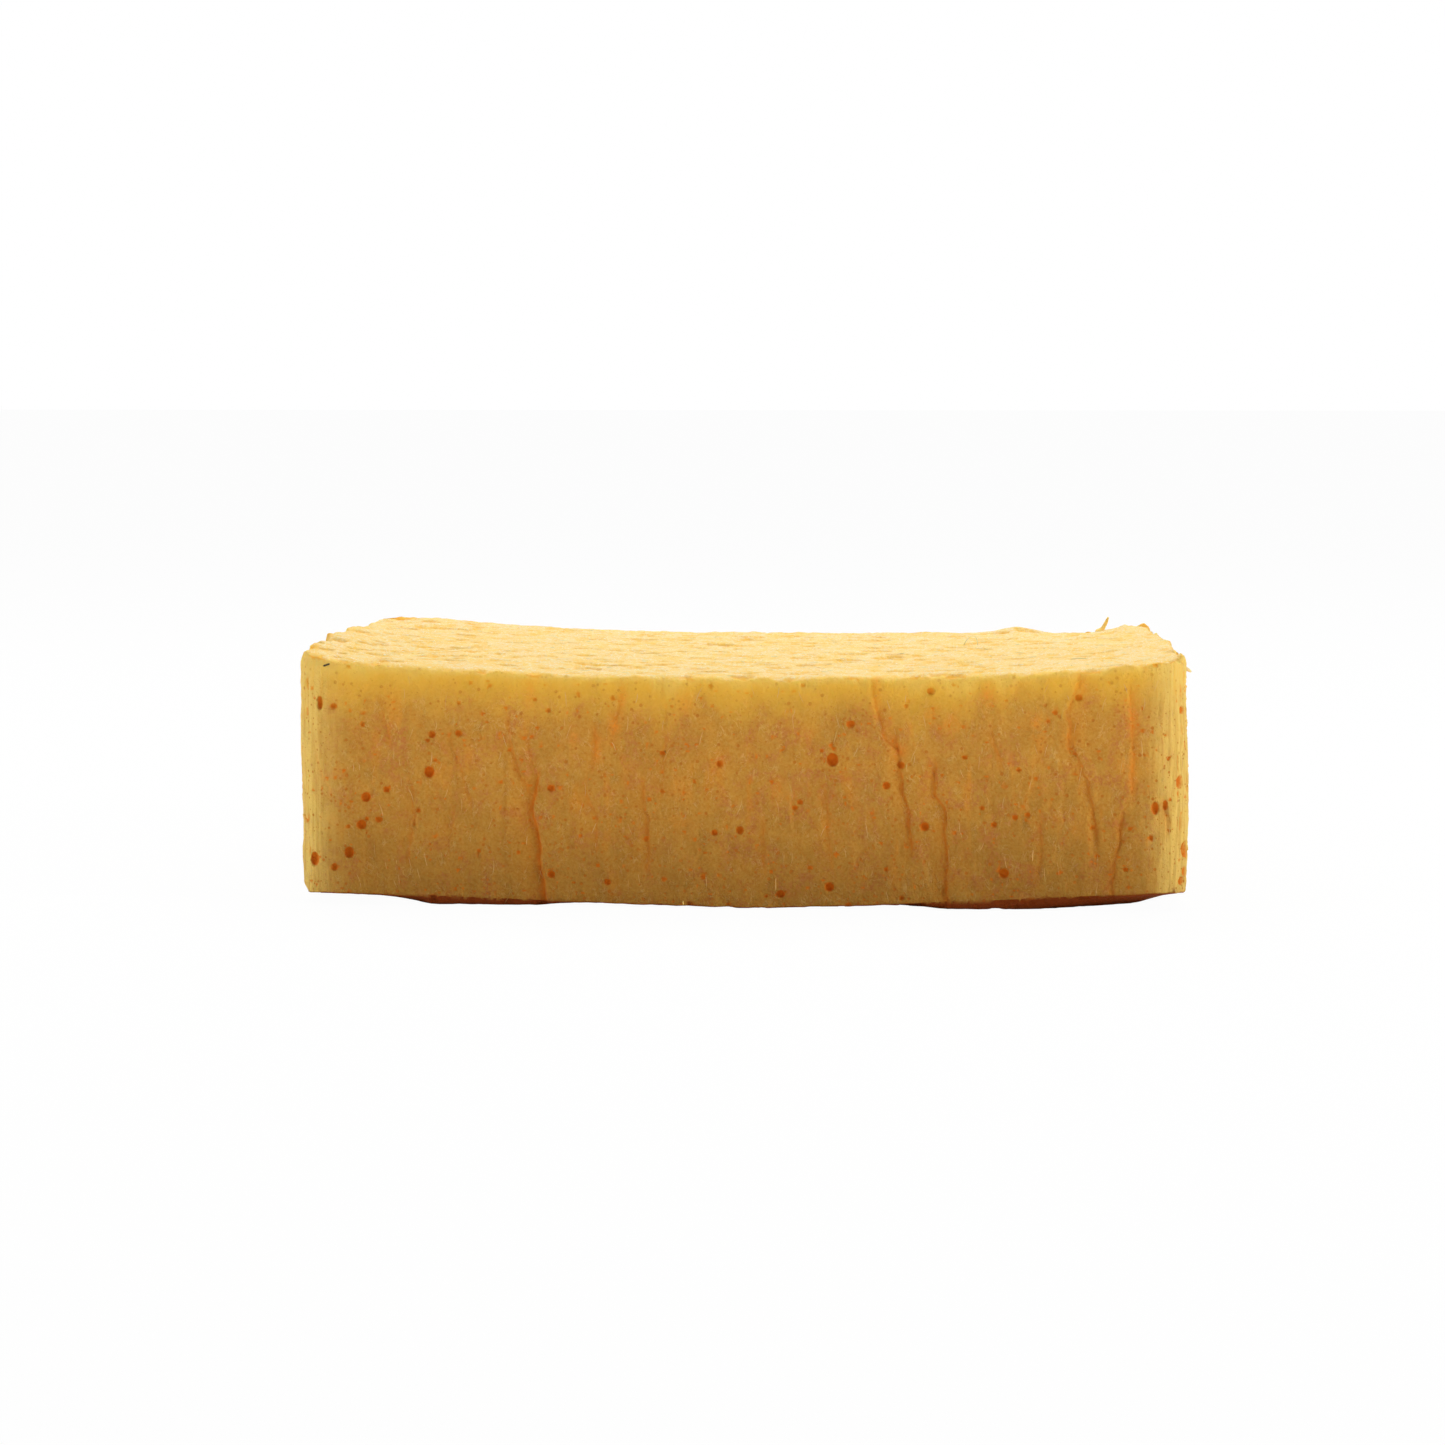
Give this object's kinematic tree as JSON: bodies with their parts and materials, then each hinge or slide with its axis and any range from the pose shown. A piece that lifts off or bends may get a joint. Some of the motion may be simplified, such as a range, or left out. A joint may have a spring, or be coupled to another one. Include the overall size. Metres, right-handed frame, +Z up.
{
  "type": "cellulose sponge",
  "caption": "Rectangular cellulose sponge block for washing cars, slightly curled from drying, with cut open-pored faces, a smooth cast skin round its sides and loose reinforcing fibres.",
  "frame": {"origin": "middle of the block's footprint, in the plane it rests on", "axes": "+X along the length, -Y out of the front skin, +Z up through the cut top face"},
  "size_m": [0.176, 0.1109, 0.0496],
  "materials": {
    "foam": "matte",
    "straw_fibre": "satin",
    "pale_fibre": "satin",
    "husk": "matte"
  },
  "bodies": {
    "root": {"sponge_block": "foam", "rear_strand": "straw_fibre", "end_barb": "pale_fibre", "bottom_barb": "straw_fibre", "bran_fleck": "husk", "top_curl": "pale_fibre", "edge_fibre": "pale_fibre", "skin_fibre_low": "pale_fibre", "skin_fibre_right": "pale_fibre"}
  },
  "joints": []
}
